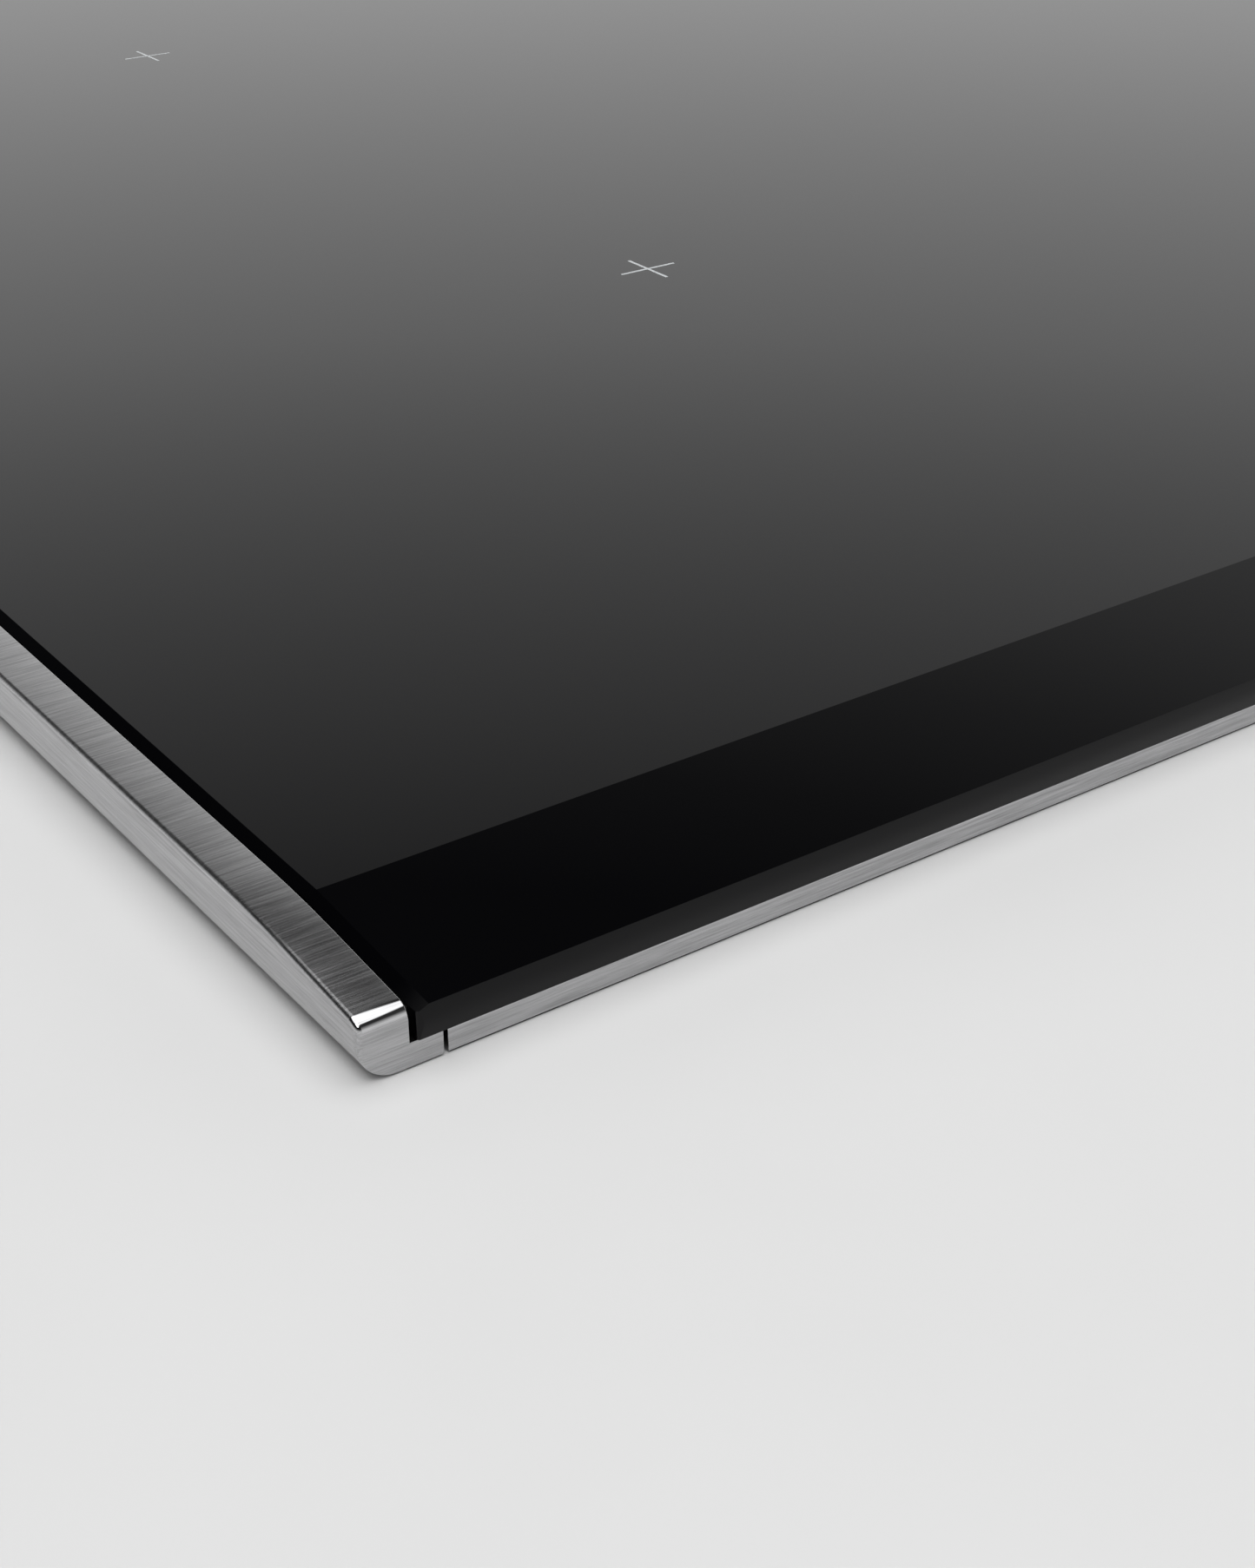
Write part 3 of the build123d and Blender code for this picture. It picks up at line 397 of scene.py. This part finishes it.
def add_ring(bm, centre, radius, width, sweep=math.tau, start=0.0):
    """A thin printed ring or arc that lies on the glass."""
    height = bpy.context.scene.cooktop_print.height
    turn = Matrix.Rotation(start, 3, "Z")
    corners = ((radius, 0, 0), (radius + width, 0, 0), (radius + width, 0, height), (radius, 0, height))
    verts = spun(bm, [turn @ Vector(corner) for corner in corners], sweep, 32)
    bmesh.ops.translate(bm, vec=(*centre, GLASS_TOP), verts=verts)


class CooktopPrint(bpy.types.PropertyGroup):
    """Sizes of the printed marks."""

    height: FloatProperty(name="Print height", description="Fired ink", default=0.02 * MM, unit="LENGTH")
    line: FloatProperty(name="Line width", description="Printed line", default=0.6 * MM, unit="LENGTH")
    cross: FloatProperty(name="Zone cross", description="Length", default=12 * MM, unit="LENGTH")
    pads: IntProperty(name="Pads", description="Touch fields in the row", default=13)
    pad: FloatProperty(name="Pad size", description="Across one field", default=8 * MM, unit="LENGTH")
    slider_steps: IntProperty(name="Slider steps", description="Marks on the power slider", default=9)
    step: FloatProperty(name="Step growth", description="Mark to mark", default=0.4 * MM, unit="LENGTH")
    dash: FloatProperty(name="Dash", description="Minus, plus, mark", default=5 * MM, unit="LENGTH")
    arm: FloatProperty(name="Plus arm", description="Upper or lower", default=2.2 * MM, unit="LENGTH")
    arm_place: FloatProperty(name="Arm place", description="Its centre", default=1.4 * MM, unit="LENGTH")
    key: FloatProperty(name="Key ring", description="Radius", default=2.8 * MM, unit="LENGTH")
    mains: FloatProperty(name="Mains ring", description="Radius", default=2.6 * MM, unit="LENGTH")
    mains_bar: FloatProperty(name="Mains bar", description="Length", default=3 * MM, unit="LENGTH")


class CooktopStage(bpy.types.PropertyGroup):
    """Sizes and colours of the stage and its light."""

    margin: FloatProperty(name="Margin", description="Worktop beyond the trims", default=0.12, unit="LENGTH")
    thickness: FloatProperty(name="Thickness", description="Compact worktop", default=0.012, unit="LENGTH")
    cutout: FloatVectorProperty(name="Cut-out", description="Width and depth", size=2, default=(0.56, 0.49))
    post: FloatProperty(name="Post radius", description="Under the worktop", default=0.012, unit="LENGTH")
    post_inset: FloatProperty(name="Post inset", description="From its edges", default=0.03, unit="LENGTH")
    floor_colour: StringProperty(name="Floor colour", description="sRGB hex", default="#c4c4c4")
    worktop_colour: StringProperty(name="Worktop colour", description="sRGB hex", default="#c4c4c4")
    light: FloatProperty(name="Overhead light", description="Radiance of the softbox", default=2.4)
    front_light: FloatProperty(name="Front light", description="Strength of the wide light", default=1.5)


class CooktopFinishOutside(bpy.types.Operator):
    """Gives the glass, trims, strips and seals their finish."""

    bl_idname = "cooktop.finish_outside"
    bl_label = "Finish Glass and Trims"

    def execute(self, context):
        finish_nodes(["glass_panel", "trim_left", "trim_right", "strip_front", "strip_rear"])
        finish_nodes(["edge_seal_left", "edge_seal_right", "worktop_seal", "glass_adhesive"])
        finish_nodes(["carrier_frame", "frame_screws"])
        return {"FINISHED"}


class CooktopFinishCasing(bpy.types.Operator):
    """Gives the casing, clips and mains connection their finish."""

    bl_idname = "cooktop.finish_casing"
    bl_label = "Finish Casing"

    def execute(self, context):
        clips = [f"clip_{end}_{side}" for end in ("front", "rear") for side in ("left", "right")]
        finish_nodes(["casing_tray", "cable_gland", *clips])
        finish_nodes(["terminal_box", "terminal_cover", "terminal_block", "terminal_screws"])
        return {"FINISHED"}


class CooktopFinishInside(bpy.types.Operator):
    """Gives the coils, boards and fans inside the casing their finish."""

    bl_idname = "cooktop.finish_inside"
    bl_label = "Finish Inside"

    def execute(self, context):
        ours = list(MATERIALS.values())
        finish_nodes([node for node, thing in frame["nodes"].items() if thing.data.materials[0] not in ours])
        return {"FINISHED"}


class CooktopSensorSprings(bpy.types.Operator):
    """Winds the springs under the temperature sensors as coils of one fixed length; the real springs shorten
    as a sensor is pressed down.
    """

    bl_idname = "cooktop.sensor_springs"
    bl_label = "Wind Sensor Springs"

    def execute(self, context):
        for zone in ZONES:
            node = "sensor_spring_" + zone
            low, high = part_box(node)
            middle_x, middle_y = (low[0] + high[0]) / 2, (low[1] + high[1]) / 2
            radius = (high[0] - low[0]) / 2 - SPRING_WIRE
            length = high[2] - low[2]
            turns = [math.tau * step / 12 for step in range(12)]
            wire = [(radius + SPRING_WIRE * math.cos(a), 0, SPRING_WIRE * math.sin(a)) for a in turns]
            bm = bmesh.new()
            sweep = math.tau * SPRING_TURNS
            verts = spun(bm, wire, sweep, 32 * SPRING_TURNS, length - 2 * SPRING_WIRE)
            for face in bm.faces:
                face.smooth = True
            bmesh.ops.translate(bm, vec=(middle_x, middle_y, low[2] + SPRING_WIRE), verts=verts)
            piece = finish_piece(bm, "wound_spring_" + zone, MATERIALS["spring_steel"])
            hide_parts(node)
            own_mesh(piece)
        return {"FINISHED"}


class CooktopZoneMarks(bpy.types.Operator):
    """Prints a small cross at the centre of each cooking zone."""

    bl_idname = "cooktop.zone_marks"
    bl_label = "Print Zone Marks"

    def execute(self, context):
        sizes = context.scene.cooktop_print
        for zone in ZONES:
            low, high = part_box("coil_winding_" + zone)
            centre = ((low[0] + high[0]) / 2, (low[1] + high[1]) / 2)
            bm = bmesh.new()
            add_bar(bm, centre, (sizes.cross, sizes.line))
            arm = (sizes.cross - sizes.line) / 2
            for side in (-1, 1):
                place = (centre[0], centre[1] + side * (sizes.line + arm) / 2)
                add_bar(bm, place, (sizes.line, arm))
            finish_piece(bm, "zone_mark_" + zone, MATERIALS["white_print"])
        return {"FINISHED"}


class CooktopControlPrint(bpy.types.Operator):
    """Prints the touch fields: the mains key, minus, a slider with growing steps, plus and a key ring."""

    bl_idname = "cooktop.control_print"
    bl_label = "Print Controls"

    def execute(self, context):
        sizes = context.scene.cooktop_print
        low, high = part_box("touch_springs")
        y = (low[1] + high[1]) / 2
        pitch = (high[0] - low[0] - sizes.pad) / (sizes.pads - 1)
        bm = bmesh.new()
        for number in range(sizes.pads):
            x = pitch * (number - (sizes.pads - 1) / 2)
            if 2 <= number < 2 + sizes.slider_steps:
                add_bar(bm, (x, y), (sizes.line, sizes.dash + sizes.step * (number - 2)))
            elif number == 0:
                add_ring(bm, (x, y), sizes.mains, sizes.line, math.radians(300), math.radians(120))
                add_bar(bm, (x, y + sizes.mains), (sizes.line, sizes.mains_bar))
            elif number == 1:
                add_bar(bm, (x, y), (sizes.dash, sizes.line))
            elif number == sizes.pads - 2:
                add_bar(bm, (x, y), (sizes.dash, sizes.line))
                for side in (-1, 1):
                    add_bar(bm, (x, y + side * sizes.arm_place), (sizes.line, sizes.arm))
            else:
                add_ring(bm, (x, y), sizes.key, sizes.line)
        finish_piece(bm, "control_print", MATERIALS["white_print"])
        return {"FINISHED"}


class CooktopStageBuild(bpy.types.Operator):
    """Builds the floor, the cut-away worktop, the light and the camera."""

    bl_idname = "cooktop.stage"
    bl_label = "Build Stage"

    def execute(self, context):
        stage = context.scene.cooktop_stage
        self.floor(stage)
        self.worktop(stage)
        self.light(context.scene, stage)
        self.lamp(stage)
        self.camera(context.scene)
        return {"FINISHED"}

    def floor(self, stage):
        """A wide pale floor."""
        bm = bmesh.new()
        bmesh.ops.create_grid(bm, x_segments=1, y_segments=1, size=40.0)
        plain = speckled("studio_floor", stage.floor_colour, stage.floor_colour, 30.0, 0.6)
        finish_piece(bm, "studio_floor", plain, None)

    def worktop(self, stage):
        """A worktop cut away at the back and right, with the cut-out that the casing drops into."""
        bm = bmesh.new()
        made = bmesh.ops.create_grid(bm, x_segments=1, y_segments=1, size=0.5)
        left = CAD_BOX[0][0] - stage.margin
        right = CAD_BOX[1][0]
        front = CAD_BOX[0][1] - stage.margin
        rear = CAD_BOX[1][1]
        bmesh.ops.scale(bm, vec=(right - left, rear - front, 1), verts=made["verts"])
        bmesh.ops.translate(bm, vec=((left + right) / 2, (front + rear) / 2, SEAT_Z), verts=made["verts"])
        half_x, half_y = stage.cutout[0] / 2, stage.cutout[1] / 2
        for point, across in (((-half_x, 0, 0), (1, 0, 0)), ((0, -half_y, 0), (0, 1, 0))):
            geometry = [*bm.verts, *bm.edges, *bm.faces]
            bmesh.ops.bisect_plane(bm, geom=geometry, plane_co=point, plane_no=across, dist=1e-6)
        middles = {face: face.calc_center_median() for face in bm.faces}
        inside = [face for face, at in middles.items() if at.x > -half_x and at.y > -half_y]
        bmesh.ops.delete(bm, geom=inside, context="FACES")
        lowered = bmesh.ops.extrude_face_region(bm, geom=list(bm.faces), use_keep_orig=True)
        under = [item for item in lowered["geom"] if isinstance(item, bmesh.types.BMVert)]
        bmesh.ops.translate(bm, vec=(0, 0, -stage.thickness), verts=under)
        bmesh.ops.recalc_face_normals(bm, faces=list(bm.faces))
        plain = speckled("worktop", stage.worktop_colour, stage.worktop_colour, 30.0, 0.5)
        finish_piece(bm, "worktop", plain, None)
        posts = bmesh.new()
        height = SEAT_Z - stage.thickness
        inset = stage.post_inset
        west, east = left + inset, right - inset
        for x, y in ((west, front + inset), (east, front + inset), (west, rear - inset)):
            place = Matrix.Translation((x, y, height / 2))
            radii = {"radius1": stage.post, "radius2": stage.post}
            bmesh.ops.create_cone(posts, cap_ends=True, segments=48, **radii, depth=height, matrix=place)
        finish_piece(posts, "worktop_posts", plain, None)

    def light(self, scene, stage):
        """Studio light as a world of bands: bright low walls, a dark band, and a softbox overhead."""
        world = bpy.data.worlds.new("studio")
        scene.world = world
        world.use_nodes = True
        tree = world.node_tree
        tree.nodes.clear()
        where = add(tree, "ShaderNodeTexCoord").outputs["Generated"]
        height = add(tree, "ShaderNodeSeparateXYZ", None, {"Vector": where}).outputs["Z"]
        walls = self.bands(tree, height, WALL_BANDS, stage.light)
        left = self.bands(tree, height, LEFT_BANDS, stage.light)
        level = {0: where, 1: (1, 1, 0)}
        flat = add(tree, "ShaderNodeVectorMath", {"operation": "MULTIPLY"}, level).outputs[0]
        flat = add(tree, "ShaderNodeVectorMath", {"operation": "NORMALIZE"}, {0: flat}).outputs[0]
        across = add(tree, "ShaderNodeSeparateXYZ", None, {"Vector": flat}).outputs["X"]
        sector = add(tree, "ShaderNodeMapRange", {"interpolation_type": "SMOOTHSTEP"}, {"Value": across})
        sector.inputs["From Min"].default_value = math.sin(math.radians(14))
        sector.inputs["From Max"].default_value = math.sin(math.radians(2))
        mixed = add(tree, "ShaderNodeMix", {"data_type": "FLOAT"})
        tree.links.new(sector.outputs["Result"], mixed.inputs[0])
        tree.links.new(walls, mixed.inputs[2])
        tree.links.new(left, mixed.inputs[3])
        studio = add(tree, "ShaderNodeBackground", None, {"Strength": 4.0})
        tree.links.new(mixed.outputs[0], studio.inputs["Color"])
        backdrop = add(tree, "ShaderNodeBackground", None, {"Color": linear("#e4e4e4"), "Strength": 1.0})
        seen = add(tree, "ShaderNodeLightPath").outputs["Is Camera Ray"]
        mix = add(tree, "ShaderNodeMixShader", None, {"Fac": seen})
        tree.links.new(studio.outputs[0], mix.inputs[1])
        tree.links.new(backdrop.outputs[0], mix.inputs[2])
        out = add(tree, "ShaderNodeOutputWorld")
        tree.links.new(mix.outputs[0], out.inputs["Surface"])
        scene.view_settings.view_transform = "Standard"
        scene.view_settings.look = "None"

    def lamp(self, stage):
        """A wide light at the front, so that only the sides keep a soft shadow."""
        toward = Vector((-0.3, -0.45, 0.84))
        data = bpy.data.lights.new("front_light", "SUN")
        data.angle = math.radians(30)
        data.energy = stage.front_light
        lamp = bpy.data.objects.new("front_light", data)
        lamp.rotation_euler = toward.to_track_quat("Z", "Y").to_euler()
        bpy.context.collection.objects.link(lamp)

    def bands(self, tree, height, bands, top):
        """Radiance by elevation, a quarter of its value, from a list of elevations in degrees."""
        ramp = add(tree, "ShaderNodeValToRGB", None, {"Fac": height})
        elements = ramp.color_ramp.elements
        while len(elements) < len(bands):
            elements.new(0.5)
        for element, (elevation, radiance) in zip(elements, bands):
            value = (top if radiance is None else radiance) / 4
            element.position = math.sin(math.radians(elevation))
            element.color = (value, value, value, 1)
        return ramp.outputs["Color"]

    def camera(self, scene):
        """Close camera over the front left corner."""
        corner = Vector((TRIM_LOW[0], TRIM_LOW[1], SEAT_Z))
        data = bpy.data.cameras.new("corner_camera")
        data.lens = 54.44
        data.sensor_width = 36.0
        data.sensor_fit = "AUTO"
        data.clip_start = 0.005
        camera = bpy.data.objects.new("corner_camera", data)
        camera.location = corner + Vector((-89.34, -170.44, 144.42)) * MM
        camera.rotation_euler = Euler((math.radians(60.20), 0, math.radians(-35.65)), "XYZ")
        bpy.context.collection.objects.link(camera)
        scene.camera = camera


class CooktopPanel(bpy.types.Panel):
    """Lists the cooktop's steps."""

    bl_idname = "VIEW3D_PT_cooktop"
    bl_label = "Cooktop"
    bl_space_type = "VIEW_3D"
    bl_region_type = "UI"
    bl_category = "Cooktop"

    def draw(self, context):
        for step in STEPS:
            self.layout.operator(step.bl_idname)
        for group in (context.scene.cooktop_print, context.scene.cooktop_stage):
            for name in group.bl_rna.properties.keys():
                if name not in ("rna_type", "name"):
                    self.layout.prop(group, name)


STEPS = (
    CooktopFinishOutside,
    CooktopFinishCasing,
    CooktopFinishInside,
    CooktopSensorSprings,
    CooktopZoneMarks,
    CooktopControlPrint,
    CooktopStageBuild,
)
CLASSES = (CooktopPrint, CooktopStage, *STEPS, CooktopPanel)


def register():
    for one in CLASSES:
        bpy.utils.register_class(one)
    bpy.types.Scene.cooktop_print = PointerProperty(type=CooktopPrint)
    bpy.types.Scene.cooktop_stage = PointerProperty(type=CooktopStage)


def unregister():
    del bpy.types.Scene.cooktop_stage
    del bpy.types.Scene.cooktop_print
    for one in reversed(CLASSES):
        bpy.utils.unregister_class(one)


def main():
    register()
    bpy.ops.cooktop.finish_outside()
    bpy.ops.cooktop.finish_casing()
    bpy.ops.cooktop.finish_inside()
    bpy.ops.cooktop.sensor_springs()
    bpy.ops.cooktop.zone_marks()
    bpy.ops.cooktop.control_print()
    bpy.ops.cooktop.stage()


if __name__ == "__main__":
    main()
